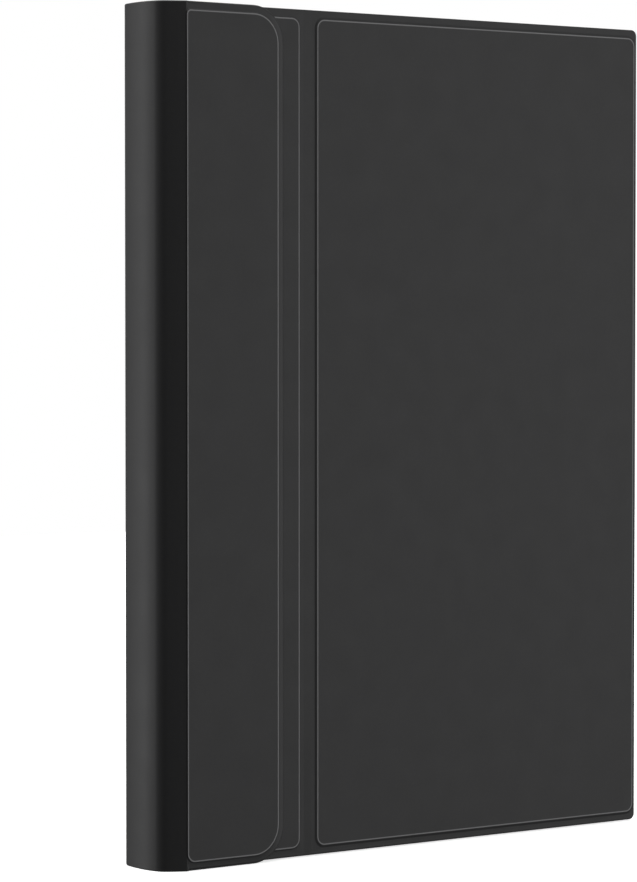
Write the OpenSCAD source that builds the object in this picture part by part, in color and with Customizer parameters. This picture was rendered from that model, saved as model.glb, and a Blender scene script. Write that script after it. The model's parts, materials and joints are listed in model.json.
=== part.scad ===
// Keyboard folio for a 10-inch class tablet, closed and standing on its short edge.
// X runs across the width, from the rounded spine (-X) to the free edge (+X).
// Y runs through the thickness: the tablet side faces -Y, the keyboard cover faces +Y.
// Z runs up the long side. The origin is at the centre of the base.

/* [Overall] */
// Height of the closed folio, along its long side
case_h = 256; // [250:1:280]
// Width of the closed folio, from the spine to the free edge
case_w = 188; // [184:1:200]
// Radius of the spine's rounded corners
spine_r = 7; // [6.5:0.1:7.2]

/* [Covers] */
// Height of the embossed panels above their margins
emboss = 0.3; // [0.2:0.05:0.35]
// Width of the flat margin around the embossed panels
margin = 3; // [2:0.5:4]
// Distance from the spine's face to the outer edge of the magnetic flap
flap_reach = 44.4; // [42:0.2:46]
// Distance from the spine's face to the fold of the stand
fold_reach = 55; // [54.6:0.1:56]
// Radius of the flap's outer corners
flap_corner = 11; // [6:1:12]

/* [Tablet tray] */
// Length of the tablet that the tray holds
tablet_l = 250.5; // [240:0.5:250.5]
// Width of the tablet that the tray holds
tablet_w = 175; // [168:0.5:175]
// Thickness of the tablet that the tray holds
tablet_t = 7.3; // [6.5:0.1:7.3]
// Thickness of the tray's side walls
tray_wall = 1.25; // [1:0.05:1.3]

/* [Keyboard] */
// Length of the keyboard, along the folio's long side
kb_l = 246; // [240:1:250]
// Depth of the keyboard, from the stand bar to the free edge
kb_d = 156; // [154:0.5:156]
// Gap between neighbouring keycaps
key_gap = 1.6; // [1.2:0.1:2.2]
// Travel of the keys
key_travel = 1.2; // [0.8:0.1:1.2]
// Width of the touchpad, along the folio's long side
pad_w = 98; // [80:1:110]

/* [Hidden] */
$fn = 96;

// Layers through the thickness, from the tablet side (-Y) to the keyboard cover (+Y)
half_t = 12.5;
base_t = 0.4;
turn_in = 0.6;
lining_t = 0.6;
board_t = 1.1;
cover_board_t = 1.4;
slab_t = emboss + base_t + board_t + lining_t;
flap_y = -half_t;
strip_y = flap_y + slab_t + 0.3;
tray_y0 = strip_y + slab_t + 0.3;
tray_floor = 1.2;
tray_lip = 0.8;
cavity_y0 = tray_y0 + tray_floor;
cavity_y1 = cavity_y0 + tablet_t;
tray_y1 = cavity_y1 + tray_lip;
key_top_y = 2.6;
deck_y = 4;
kb_back_y = 9.3;
cover_y0 = 9.8;

// Places across the width
edge_x = case_w / 2;
spine_x = -edge_x;
hinge_inset = spine_r * (1 - PI / 4);
hinge_x = spine_x + hinge_inset;
skin_x0 = hinge_x + spine_r - hinge_inset + 0.3;
flap_x1 = spine_x + flap_reach;
fold_x = spine_x + fold_reach;
fold_gap = 0.15;
channel = 3.3;
panel_inset = 1;
tray_x0 = spine_x + 7.5;
tray_x1 = tray_x0 + tablet_w + 2 * tray_wall + 0.5;
kb_x1 = edge_x - 2.5;
kb_x0 = kb_x1 - kb_d;
mid_z = case_h / 2;
inset_z = 0.3;

// Corners of the spine: the covers' margins run out at this level
margin_y = half_t - emboss;
corner_x = spine_x + spine_r;
corner_y = margin_y - spine_r;
spine_flat = corner_y - 0.3;
leather_t = 0.8;

// Keys: rows are counted from the hinge, and the pitch is one standard key
kb_z0 = mid_z - kb_l / 2;
keys_w = kb_l - 8;
pitch = keys_w / 14.5;
fn_pitch = keys_w / 14;
row_pitch = 16.4;
fn_row_h = 8.6;
key_len = row_pitch - key_gap;
fn_row_x = kb_x0 + 8.5;
row_x0 = fn_row_x + fn_row_h / 2 + key_gap + key_len / 2;
cap_t = 2;
cap_wall = 0.9;
cap_r = 1.6;
hole_gap = 0.45;
pad_x0 = row_x0 + 4 * row_pitch + key_len / 2 + 4.5;
pad_x1 = kb_x1 - 4.5;
pad_gap = 0.4;
kb_wall = 1.2;
deck_t = 1;
plate_y = 6.5;

// Each key is [start, width] in units of its row's pitch
FUNCTION_ROW = [for (i = [0:13]) [i, 1]];
NUMBER_ROW = [for (i = [0:12]) [i, 1]];
UPPER_ROW = [for (i = [0:12]) [1.5 + i, 1]];
HOME_ROW = [for (i = [0:10]) [1.75 + i, 1]];
LOWER_ROW = [for (i = [0:9]) [2.25 + i, 1]];
MODIFIER_ROW = [[0, 1], [1, 1], [2, 1], [3, 1.25], [9.25, 1.25], [10.5, 1]];
SPACE = [4.25, 5];
BACKSPACE = [13, 1.5];
TAB = [0, 1.5];
CAPS = [0, 1.75];
ENTER = [12.75, 1.75];
LEFT_SHIFT = [0, 2.25];
RIGHT_SHIFT = [12.25, 2.25];
ARROWS_START = 11.5;

leather = [0.16, 0.16, 0.165];
board_grey = [0.45, 0.42, 0.38];
microfibre = [0.22, 0.22, 0.23];
steel = [0.72, 0.73, 0.75];
magnet = [0.6, 0.62, 0.65];
tpu = [0.1, 0.1, 0.11];
plastic = [0.13, 0.13, 0.14];
keycap = [0.07, 0.07, 0.075];

// ---- outlines and slabs ----

// What a round corner takes off a square one; sx and sy point into the outline
module corner_waste(x, y, sx, sy, r) {
    translate([x, y])
        difference() {
            translate([sx > 0 ? -1 : -r, sy > 0 ? -1 : -r]) square(r + 1);
            translate([sx * r, sy * r]) circle(r);
        }
}

// Rectangle with its own radius at each corner: [low x low z, high x low z, high x high z, low x high z]
module outline(x0, x1, z0, z1, r) {
    difference() {
        translate([x0, z0]) square([x1 - x0, z1 - z0]);
        if (r[0] > 0) corner_waste(x0, z0, 1, 1, r[0]);
        if (r[1] > 0) corner_waste(x1, z0, -1, 1, r[1]);
        if (r[2] > 0) corner_waste(x1, z1, -1, -1, r[2]);
        if (r[3] > 0) corner_waste(x0, z1, 1, -1, r[3]);
    }
}

// Upright slab that fills an outline between two levels of Y
module slab(x0, x1, z0, z1, y0, y1, r) {
    translate([0, y1, 0])
        rotate([90, 0, 0])
            linear_extrude(height = y1 - y0)
                outline(x0, x1, z0, z1, r);
}

// Leather skin with a turned-in edge; side is -1 where it faces -Y and 1 where it faces +Y
module skin(x0, x1, z0, z1, y_out, side, core, r, panel, panel_r) {
    depth = emboss + base_t + core + lining_t;
    y_base = y_out - side * emboss;
    y_core = y_base - side * base_t;
    y_in = y_out - side * depth;
    inner_r = [for (c = r) max(c - turn_in, 0)];
    difference() {
        slab(x0, x1, z0, z1, min(y_base, y_in), max(y_base, y_in), r);
        slab(x0 + turn_in, x1 - turn_in, z0 + turn_in, z1 - turn_in,
            min(y_core, y_in) - (side > 0 ? 1 : 0), max(y_core, y_in) + (side > 0 ? 0 : 1), inner_r);
    }
    slab(panel[0], panel[1], panel[2], panel[3], min(y_base, y_out), max(y_base, y_out), panel_r);
}

// Board or lining that fills a skin's pocket between two levels of Y
module core(x0, x1, z0, z1, y0, y1, r) {
    slab(x0 + turn_in, x1 - turn_in, z0 + turn_in, z1 - turn_in, y0, y1,
        [for (c = r) max(c - turn_in, 0)]);
}

// Round magnet or screw along Y
module disc_y(x, y0, y1, z, r) {
    translate([x, y1, z])
        rotate([90, 0, 0])
            cylinder(h = y1 - y0, r = r);
}

// Quarter of a leather tube around a corner of the spine, from angle a0 to a1
module leather_arc(cy, a0, a1) {
    translate([corner_x, cy, 0])
        linear_extrude(height = case_h)
            intersection() {
                difference() {
                    circle(spine_r);
                    circle(spine_r - leather_t);
                }
                polygon([[0, 0], [20 * cos(a0), 20 * sin(a0)],
                    [20 * cos((a0 + a1) / 2), 20 * sin((a0 + a1) / 2)], [20 * cos(a1), 20 * sin(a1)]]);
            }
}

// ---- keyboard cover ----

cover_r = [0.8, 2, 2, 0.8];
cover_lining_y = cover_y0 + lining_t;
cover_skin_y = cover_lining_y + cover_board_t;

module front_cover_skin() {
    color(leather)
        skin(skin_x0, edge_x, 0, case_h, half_t, 1, cover_board_t, cover_r,
            [skin_x0 + panel_inset, edge_x - panel_inset, margin, case_h - margin], [3, 3, 3, 3]);
}

dock_x = [kb_x0 + 18, kb_x1 - 18];
dock_z = [mid_z - 90, mid_z - 30, mid_z + 30, mid_z + 90];
closure_z = [mid_z - 105, mid_z - 35, mid_z + 35, mid_z + 105];
closure_x = edge_x - 6;
dock_r = 5;
closure_r = 4;

module dock_discs(y0, y1, r) {
    for (x = dock_x, z = dock_z)
        disc_y(x, y0, y1, z, r);
}

module closure_discs(y0, y1, r) {
    for (z = closure_z)
        disc_y(closure_x, y0, y1, z, r);
}

module front_cover_board() {
    color(board_grey)
        difference() {
            core(skin_x0, edge_x, 0, case_h, cover_lining_y, cover_skin_y, cover_r);
            dock_discs(cover_lining_y - 1, cover_lining_y + 1.1, dock_r);
            closure_discs(cover_lining_y - 1, cover_lining_y + 1.1, closure_r);
        }
}

module front_cover_lining() {
    color(microfibre)
        core(skin_x0, edge_x, 0, case_h, cover_y0, cover_lining_y, cover_r);
}

module keyboard_dock_magnets() {
    color(magnet)
        dock_discs(cover_lining_y, cover_lining_y + 1.1, dock_r);
}

module closure_magnets() {
    color(magnet)
        closure_discs(cover_lining_y, cover_lining_y + 1.1, closure_r);
}

// The bar holds the tray's lower edge when the folio is set up as a stand.
// Its profile is in steps along X from the hinge and down from the lining.
bar_foot = 13.2;
bar_back = 26;
bar_h = 6.6;
bar_z0 = mid_z - 108;
bar_l = 216;

module stand_bar() {
    color(tpu)
        difference() {
            translate([hinge_x, cover_y0, bar_z0])
                linear_extrude(height = bar_l)
                    polygon([
                        [bar_foot, 0], [bar_foot + 1, -1], [bar_foot + 3, -2.5], [bar_foot + 5, -4.5],
                        [bar_foot + 6.6, -bar_h], [bar_back - 0.6, -bar_h],
                        [bar_back, 0.6 - bar_h], [bar_back, 0]]);
            bar_magnet_blocks(0.05);
        }
}

module bar_magnet_blocks(gap) {
    for (i = [0:5])
        translate([hinge_x + bar_foot + 7.5 - gap, cover_y0 - 4.6 - gap, bar_z0 + 14 + i * 35 - gap])
            cube([3.4 + 2 * gap, 3.4 + 2 * gap, 12 + 2 * gap]);
}

module stand_bar_magnets() {
    color(magnet)
        bar_magnet_blocks(0);
}

// ---- spine ----

crease_end = 2.5;

module cover_crease() {
    color(leather)
        leather_arc(corner_y, 90 + crease_end, 180 - crease_end);
}

module flap_crease() {
    color(leather)
        leather_arc(-corner_y, 180 + crease_end, 270 - crease_end);
}

module spine_plate(x0, t, inset) {
    translate([x0, inset - spine_flat, inset])
        cube([t, 2 * (spine_flat - inset), case_h - 2 * inset]);
}

module spine_skin() {
    color(leather)
        spine_plate(spine_x, leather_t, 0);
}

module spine_board() {
    color(board_grey)
        spine_plate(spine_x + leather_t, 1, 0.5);
}

module spine_lining() {
    color(microfibre)
        spine_plate(spine_x + leather_t + 1, lining_t, 0.2);
}

// ---- magnetic flap ----

flap_r = [0.8, flap_corner, flap_corner, 0.8];
flap_core_y = flap_y + emboss + base_t;
flap_lining_y = flap_core_y + board_t;
flap_magnet_x = [skin_x0 + 9, flap_x1 - 9];
flap_magnet_z = [for (i = [-3:3]) mid_z + i * 34];

module flap_discs(y0, y1) {
    for (x = flap_magnet_x, z = flap_magnet_z)
        disc_y(x, y0, y1, z, 5);
}

module flap_skin() {
    color(leather)
        skin(skin_x0, flap_x1, 0, case_h, flap_y, -1, board_t, flap_r,
            [skin_x0 + panel_inset, flap_x1 - 2.6, 2.6, case_h - 2.6],
            [3, flap_corner - 2.2, flap_corner - 2.2, 3]);
}

module flap_board() {
    color(board_grey)
        difference() {
            core(skin_x0, flap_x1, 0, case_h, flap_core_y, flap_lining_y, flap_r);
            flap_discs(flap_lining_y - 0.8, flap_lining_y + 1);
        }
}

module flap_lining() {
    color(microfibre)
        core(skin_x0, flap_x1, 0, case_h, flap_lining_y, flap_lining_y + lining_t, flap_r);
}

module flap_magnets() {
    color(magnet)
        flap_discs(flap_lining_y - 0.8, flap_lining_y);
}

// ---- stand strip, under the flap ----

strip_x0 = tray_x0;
strip_x1 = fold_x - fold_gap;
strip_r = [2, 0, 0, 2];
strip_core_y = strip_y + emboss + base_t;
strip_lining_y = strip_core_y + board_t;
plate_t = 0.5;

module strip_plate_box(gap) {
    translate([strip_x0 + 5 - gap, strip_lining_y - plate_t, 12 - gap])
        cube([flap_x1 - strip_x0 - 8 + 2 * gap, plate_t + gap, case_h - 24 + 2 * gap]);
}

module strip_skin() {
    color(leather)
        skin(strip_x0, strip_x1, inset_z, case_h - inset_z, strip_y, -1, board_t, strip_r,
            [strip_x0 + 2, fold_x - channel, margin, case_h - margin], [2, 2.8, 2.8, 2]);
}

module strip_board() {
    color(board_grey)
        difference() {
            core(strip_x0, strip_x1, inset_z, case_h - inset_z, strip_core_y, strip_lining_y, strip_r);
            strip_plate_box(0.1);
        }
}

module strip_steel_plate() {
    color(steel)
        strip_plate_box(0);
}

module strip_lining() {
    color(microfibre)
        core(strip_x0, strip_x1, inset_z, case_h - inset_z,
            strip_lining_y, strip_lining_y + lining_t, strip_r);
}

// ---- back panel ----

back_x0 = fold_x + fold_gap;
back_r = [0, 2, 2, 0];

module back_panel_skin() {
    color(leather)
        skin(back_x0, edge_x, inset_z, case_h - inset_z, strip_y, -1, board_t, back_r,
            [fold_x + channel, edge_x - panel_inset, margin, case_h - margin], [2.8, 2.8, 2.8, 2.8]);
}

module back_panel_board() {
    color(board_grey)
        core(back_x0, edge_x, inset_z, case_h - inset_z, strip_core_y, strip_lining_y, back_r);
}

module back_panel_lining() {
    color(microfibre)
        core(back_x0, edge_x, inset_z, case_h - inset_z,
            strip_lining_y, strip_lining_y + lining_t, back_r);
}

module tray_adhesive() {
    color([0.3, 0.3, 0.28])
        slab(back_x0 + 4, tray_x1 - 5, 8, case_h - 8, tray_y0 - 0.3, tray_y0, [4, 4, 4, 4]);
}

// ---- tablet tray ----

tray_z0 = mid_z - tablet_l / 2 - tray_wall;
tray_z1 = case_h - tray_z0;
cavity_x0 = tray_x0 + tray_wall + 0.25;
cavity_x1 = cavity_x0 + tablet_w;
cavity_z0 = mid_z - tablet_l / 2;
cavity_z1 = case_h - cavity_z0;
lip_w = 1.2;
tray_r = 10;
cavity_r = 8.5;
tray_edge_r = 3;

// Rounds the long edge that turns past the keyboard cover when the stand folds
module tray_edge_waste() {
    translate([tray_x0, tray_y1, -1])
        linear_extrude(height = case_h + 2)
            corner_waste(0, 0, 1, -1, tray_edge_r);
}

// Cut-outs in the short walls for the tablet's port, speakers and buttons
module tray_wall_cuts() {
    centre_x = (cavity_x0 + cavity_x1) / 2;
    translate([centre_x - 8, cavity_y0 + 1, tray_z0 - 1]) cube([16, 4.4, 4]);
    for (x = [centre_x - 52, centre_x + 28], z = [tray_z0 - 1, cavity_z1 - 1])
        translate([x, cavity_y0 + 1.6, z]) cube([24, 3.2, 4]);
    translate([cavity_x1 - 34, cavity_y0 + 1.2, cavity_z1 - 1]) cube([18, 4, 4]);
    translate([cavity_x1 - 1, cavity_y0 + 1.2, cavity_z1 - 62]) cube([4, 4, 34]);
}

module tablet_tray() {
    color(tpu)
        difference() {
            slab(tray_x0, tray_x1, tray_z0, tray_z1, tray_y0, tray_y1, [tray_r, tray_r, tray_r, tray_r]);
            slab(cavity_x0, cavity_x1, cavity_z0, cavity_z1, cavity_y0, cavity_y1,
                [cavity_r, cavity_r, cavity_r, cavity_r]);
            slab(cavity_x0 + lip_w, cavity_x1 - lip_w, cavity_z0 + lip_w, cavity_z1 - lip_w,
                cavity_y1 - 0.5, tray_y1 + 1, [7, 7, 7, 7]);
            tray_wall_cuts();
            tray_edge_waste();
            tray_steel_box(0.05);
        }
}

// Steel strip in the tray's floor, which the stand bar's magnets hold
module tray_steel_box(gap) {
    translate([tray_x0 + 4 - gap, tray_y0 + 0.4 - gap, bar_z0 + 8 - gap])
        cube([8 + 2 * gap, 0.5 + 2 * gap, bar_l - 16 + 2 * gap]);
}

module tray_edge_steel() {
    color(steel)
        tray_steel_box(0);
}

// ---- keycaps ----

function row_x(row) = row_x0 + (row - 2) * row_pitch;
function key_z(start, unit) = mid_z - keys_w / 2 + start * unit;

// Hollow cap; its opening faces the key plate
module cap(x, z0, len, wid, gap) {
    x0 = x - len / 2 - gap;
    x1 = x + len / 2 + gap;
    z1 = z0 + wid + gap;
    r = [cap_r, cap_r, cap_r, cap_r];
    difference() {
        slab(x0, x1, z0 - gap, z1, key_top_y, key_top_y + cap_t, r);
        slab(x0 + cap_wall, x1 - cap_wall, z0 - gap + cap_wall, z1 - cap_wall,
            key_top_y + cap_wall, key_top_y + cap_t + 1, [0.8, 0.8, 0.8, 0.8]);
    }
}

// Opening in the deck for one cap
module cap_hole(x, z0, len, wid) {
    translate([x - len / 2 - hole_gap, deck_y - 1, z0 - hole_gap])
        cube([len + 2 * hole_gap, deck_t + 2, wid + 2 * hole_gap]);
}

module row_caps(row, keys) {
    for (k = keys)
        cap(row_x(row), key_z(k[0], pitch) + key_gap / 2, key_len, k[1] * pitch - key_gap, 0);
}

module row_holes(row, keys) {
    for (k = keys)
        cap_hole(row_x(row), key_z(k[0], pitch) + key_gap / 2, key_len, k[1] * pitch - key_gap);
}

arrow_h = (key_len - key_gap / 2) / 2;
ARROWS = [
    [ARROWS_START, 0.25], [ARROWS_START + 1, -0.25],
    [ARROWS_START + 1, 0.25], [ARROWS_START + 2, 0.25]];

function arrow_x(a) = row_x(6) + sign(a[1]) * (key_len - arrow_h) / 2;

module arrow_keys() {
    color(keycap)
        for (a = ARROWS)
            cap(arrow_x(a), key_z(a[0], pitch) + key_gap / 2, arrow_h, pitch - key_gap, 0);
}

module function_keys() {
    color(keycap)
        for (k = FUNCTION_ROW)
            cap(fn_row_x, key_z(k[0], fn_pitch) + key_gap / 2, fn_row_h, fn_pitch - key_gap, 0);
}

module number_keys() { color(keycap) row_caps(2, NUMBER_ROW); }
module upper_letter_keys() { color(keycap) row_caps(3, UPPER_ROW); }
module home_letter_keys() { color(keycap) row_caps(4, HOME_ROW); }
module lower_letter_keys() { color(keycap) row_caps(5, LOWER_ROW); }
module modifier_keys() { color(keycap) row_caps(6, MODIFIER_ROW); }
module space_bar() { color(keycap) row_caps(6, [SPACE]); }
module backspace_key() { color(keycap) row_caps(2, [BACKSPACE]); }
module tab_key() { color(keycap) row_caps(3, [TAB]); }
module caps_key() { color(keycap) row_caps(4, [CAPS]); }
module enter_key() { color(keycap) row_caps(4, [ENTER]); }
module left_shift_key() { color(keycap) row_caps(5, [LEFT_SHIFT]); }
module right_shift_key() { color(keycap) row_caps(5, [RIGHT_SHIFT]); }

// Wire under the space bar that keeps it level
module space_bar_stabiliser() {
    z0 = key_z(SPACE[0], pitch) + key_gap / 2;
    wire_l = SPACE[1] * pitch - key_gap - 2 * cap_wall - 1;
    color(steel)
        translate([row_x(6) + key_len / 2 - cap_wall - 1, key_top_y + cap_wall + 0.35, z0 + cap_wall + 0.5])
            cylinder(h = wire_l, r = 0.35);
}

// ---- keyboard body ----

port_y = 6.7;
screw_x = [kb_x0 + 3.2, kb_x1 - 3.2];
screw_z = [kb_z0 + 3.2, mid_z, kb_z0 + kb_l - 3.2];
screw_sink = 0.5;
shank_r = 0.7;
head_r = 1.25;
boss_r = 1.8;
light_x = kb_x1 - 8;
light_z = kb_z0 + kb_l - 16;
switch_x = kb_x1 - 30;
port_x = kb_x1 - 24;
case_split_y = 8.4;

module all_key_holes() {
    for (k = FUNCTION_ROW)
        cap_hole(fn_row_x, key_z(k[0], fn_pitch) + key_gap / 2, fn_row_h, fn_pitch - key_gap);
    row_holes(2, concat(NUMBER_ROW, [BACKSPACE]));
    row_holes(3, concat([TAB], UPPER_ROW));
    row_holes(4, concat([CAPS], HOME_ROW, [ENTER]));
    row_holes(5, concat([LEFT_SHIFT], LOWER_ROW, [RIGHT_SHIFT]));
    row_holes(6, concat(MODIFIER_ROW, [SPACE]));
    for (a = ARROWS)
        cap_hole(arrow_x(a), key_z(a[0], pitch) + key_gap / 2, arrow_h, pitch - key_gap);
}

module keyboard_top_case() {
    r = [6, 6, 6, 6];
    inner = [4.8, 4.8, 4.8, 4.8];
    color(plastic)
        difference() {
            union() {
                difference() {
                    slab(kb_x0, kb_x1, kb_z0, kb_z0 + kb_l, deck_y, case_split_y, r);
                    slab(kb_x0 + kb_wall, kb_x1 - kb_wall, kb_z0 + kb_wall, kb_z0 + kb_l - kb_wall,
                        deck_y + deck_t, case_split_y + 1, inner);
                }
                for (x = screw_x, z = screw_z)
                    disc_y(x, deck_y + deck_t / 2, case_split_y, z, boss_r);
            }
            screw_shanks(1.5);
            all_key_holes();
            slab(pad_x0 - pad_gap, pad_x1 + pad_gap,
                mid_z - pad_w / 2 - pad_gap, mid_z + pad_w / 2 + pad_gap,
                deck_y - 1, deck_y + deck_t + 1, [3.4, 3.4, 3.4, 3.4]);
            disc_y(light_x, deck_y - 1, deck_y + deck_t + 1, light_z, 0.9);
            translate([port_x - 4.65, port_y - 1.75, kb_z0 - 1]) cube([9.3, 3.5, kb_wall + 2]);
            translate([switch_x - 5, port_y - 1.1, kb_z0 + kb_l - kb_wall - 1])
                cube([10, 2.2, kb_wall + 2]);
        }
}

module keyboard_bottom_case() {
    color(plastic)
        difference() {
            slab(kb_x0, kb_x1, kb_z0, kb_z0 + kb_l, case_split_y, kb_back_y, [6, 6, 6, 6]);
            for (x = screw_x, z = screw_z)
                disc_y(x, kb_back_y - screw_sink, kb_back_y + 1, z, head_r + 0.05);
            screw_shanks(1);
            keyboard_foot_discs(kb_back_y - screw_sink, kb_back_y + 1);
            dock_discs(case_split_y - 1, case_split_y + 0.6, dock_r + 0.05);
        }
}

module screw_shanks(depth) {
    for (x = screw_x, z = screw_z)
        disc_y(x, case_split_y - depth, kb_back_y - screw_sink, z, shank_r);
}

module case_screws() {
    color(steel) {
        screw_shanks(1.4);
        for (x = screw_x, z = screw_z)
            disc_y(x, kb_back_y - screw_sink, kb_back_y - 0.05, z, head_r);
    }
}

module keyboard_magnets() {
    color(magnet)
        dock_discs(case_split_y - 0.4, case_split_y + 0.6, dock_r);
}

module keyboard_foot_discs(y0, y1) {
    for (x = [kb_x0 + 9, kb_x1 - 9], z = [kb_z0 + 12, kb_z0 + kb_l - 12])
        disc_y(x, y0, y1, z, 4);
}

module keyboard_feet() {
    color(tpu)
        keyboard_foot_discs(kb_back_y - screw_sink, kb_back_y + 0.2);
}

// The plate, dome sheet and membrane lie under the keys only
stack_x0 = kb_x0 + kb_wall + 1.2;
stack_x1 = pad_x0 - 2.4;

module stack_sheet(y0, y1) {
    difference() {
        slab(stack_x0, stack_x1, kb_z0 + kb_wall + 1.2, kb_z0 + kb_l - kb_wall - 1.2,
            y0, y1, [4, 1, 1, 4]);
        for (z = screw_z)
            disc_y(screw_x[0], y0 - 1, y1 + 1, z, boss_r + 0.3);
    }
}

module dome_row(x, keys, unit, r) {
    for (k = keys)
        translate([x, plate_y - 0.2, key_z(k[0] + k[1] / 2, unit)])
            rotate([90, 0, 0])
                cylinder(h = key_travel + 0.3, r1 = r, r2 = r * 0.6);
}

module dome_sheet() {
    color([0.75, 0.75, 0.72]) {
        stack_sheet(plate_y - 0.2, plate_y);
        dome_row(fn_row_x, FUNCTION_ROW, fn_pitch, 2);
        dome_row(row_x(2), concat(NUMBER_ROW, [BACKSPACE]), pitch, 2.6);
        dome_row(row_x(3), concat([TAB], UPPER_ROW), pitch, 2.6);
        dome_row(row_x(4), concat([CAPS], HOME_ROW, [ENTER]), pitch, 2.6);
        dome_row(row_x(5), concat([LEFT_SHIFT], LOWER_ROW, [RIGHT_SHIFT]), pitch, 2.6);
        dome_row(row_x(6), concat(MODIFIER_ROW, [SPACE]), pitch, 2.6);
        for (a = ARROWS)
            dome_row(arrow_x(a), [[a[0], 1]], pitch, 1.8);
    }
}

module membrane_circuit() {
    color([0.25, 0.45, 0.35])
        stack_sheet(plate_y, plate_y + 0.3);
}

module key_plate() {
    color(steel)
        stack_sheet(plate_y + 0.3, plate_y + 0.8);
}

module circuit_board() {
    color([0.05, 0.3, 0.15])
        translate([pad_x0 + 3, case_split_y - 0.8, kb_z0 + 8])
            cube([30, 0.8, 40]);
}

module battery() {
    color([0.7, 0.7, 0.72])
        slab(pad_x0 + 2, pad_x1 - 4, mid_z + pad_w / 2 + 6, mid_z + pad_w / 2 + 54,
            deck_y + deck_t, 7.7, [2, 2, 2, 2]);
}

// Receptacle in the short side of the keyboard
module usb_c_port() {
    color(steel)
        translate([port_x, port_y, kb_z0 + 0.1])
            linear_extrude(height = 7.2)
                difference() {
                    stadium(8.9, 3.2);
                    stadium(8.3, 2.6);
                }
    color(plastic)
        translate([port_x - 3.3, port_y - 0.35, kb_z0 + 1.4])
            cube([6.6, 0.7, 5.9]);
    color(steel)
        translate([port_x, port_y, kb_z0 + 7.3])
            linear_extrude(height = 0.5)
                stadium(8.9, 3.2);
}

module stadium(w, h) {
    square([w - h, h], center = true);
    for (s = [-1, 1])
        translate([s * (w - h) / 2, 0])
            circle(h / 2);
}

module status_light() {
    color("white")
        disc_y(light_x, deck_y, deck_y + deck_t + 0.6, light_z, 0.85);
}

module power_switch() {
    color(plastic)
        translate([switch_x - 4.6, port_y - 0.8, kb_z0 + kb_l - kb_wall - 1.6]) {
            cube([5.2, 1.6, kb_wall + 1.9]);
            translate([-0.8, -0.6, 0]) cube([6.8, 2.8, 1]);
        }
}

pad_t = 1.2;

module touchpad() {
    color(plastic)
        slab(pad_x0, pad_x1, mid_z - pad_w / 2, mid_z + pad_w / 2,
            deck_y + 0.1, deck_y + 0.1 + pad_t, [3, 3, 3, 3]);
}

module touchpad_switch() {
    color(steel)
        disc_y((pad_x0 + pad_x1) / 2, deck_y + pad_t + 0.7, case_split_y, mid_z, 3);
}

front_cover_skin();
front_cover_board();
front_cover_lining();
keyboard_dock_magnets();
closure_magnets();
stand_bar();
stand_bar_magnets();
cover_crease();
spine_skin();
spine_board();
spine_lining();
flap_crease();
flap_skin();
flap_board();
flap_lining();
flap_magnets();
strip_skin();
strip_board();
strip_steel_plate();
strip_lining();
back_panel_skin();
back_panel_board();
back_panel_lining();
tray_adhesive();
tablet_tray();
tray_edge_steel();
keyboard_top_case();
keyboard_bottom_case();
key_plate();
dome_sheet();
membrane_circuit();
circuit_board();
battery();
usb_c_port();
status_light();
keyboard_magnets();
keyboard_feet();
case_screws();
power_switch();
touchpad();
touchpad_switch();
function_keys();
number_keys();
upper_letter_keys();
home_letter_keys();
lower_letter_keys();
modifier_keys();
arrow_keys();
space_bar();
space_bar_stabiliser();
backspace_key();
tab_key();
caps_key();
enter_key();
left_shift_key();
right_shift_key();
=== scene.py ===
"""Tablet keyboard folio: leather covers, linings, tray and keyboard, built around the CAD frame.

Shapes are made in millimetres from the CAD nodes' own corners, and scaled to metres at the end.
"""
import json
import math

import bmesh
import bpy
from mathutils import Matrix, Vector


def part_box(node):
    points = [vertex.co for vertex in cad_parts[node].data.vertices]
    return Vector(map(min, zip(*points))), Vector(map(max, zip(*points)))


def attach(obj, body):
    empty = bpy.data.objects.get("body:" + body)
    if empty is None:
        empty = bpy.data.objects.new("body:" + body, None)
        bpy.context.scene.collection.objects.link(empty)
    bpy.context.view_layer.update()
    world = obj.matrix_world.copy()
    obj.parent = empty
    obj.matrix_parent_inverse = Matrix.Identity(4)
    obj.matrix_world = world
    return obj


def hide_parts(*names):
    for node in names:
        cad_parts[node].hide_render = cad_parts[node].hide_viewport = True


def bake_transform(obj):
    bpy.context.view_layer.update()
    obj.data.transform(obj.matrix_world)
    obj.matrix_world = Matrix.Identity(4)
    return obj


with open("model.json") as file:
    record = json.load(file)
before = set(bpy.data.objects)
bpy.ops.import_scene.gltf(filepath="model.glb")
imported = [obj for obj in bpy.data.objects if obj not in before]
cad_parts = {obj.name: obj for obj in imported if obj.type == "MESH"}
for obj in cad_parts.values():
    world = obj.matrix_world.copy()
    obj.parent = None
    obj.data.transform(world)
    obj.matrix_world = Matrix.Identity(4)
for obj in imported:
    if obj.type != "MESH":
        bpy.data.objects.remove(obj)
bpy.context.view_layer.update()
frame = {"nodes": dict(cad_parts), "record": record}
MM = 0.001


# ------------------------------------------------------------ places, from the CAD frame

def span(node):
    """Lowest and highest corner of a CAD node, in millimetres."""
    lo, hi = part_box(node)
    return lo / MM, hi / MM


COVER_LO, COVER_HI = span("front_cover_skin")
FLAP_LO, FLAP_HI = span("flap_skin")
STRIP_LO, STRIP_HI = span("strip_skin")
BACK_LO, BACK_HI = span("back_panel_skin")
SPINE_LO, _ = span("spine_skin")
TRAY_LO, TRAY_HI = span("tablet_tray")
BAR_LO, BAR_HI = span("stand_bar")
DECK_LO, DECK_HI = span("keyboard_top_case")
BASE_LO, BASE_HI = span("keyboard_bottom_case")
PAD_LO, PAD_HI = span("touchpad")
KEY_LO, _ = span("number_keys")
CASE_H = COVER_HI.z
MID_Z = CASE_H / 2

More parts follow.
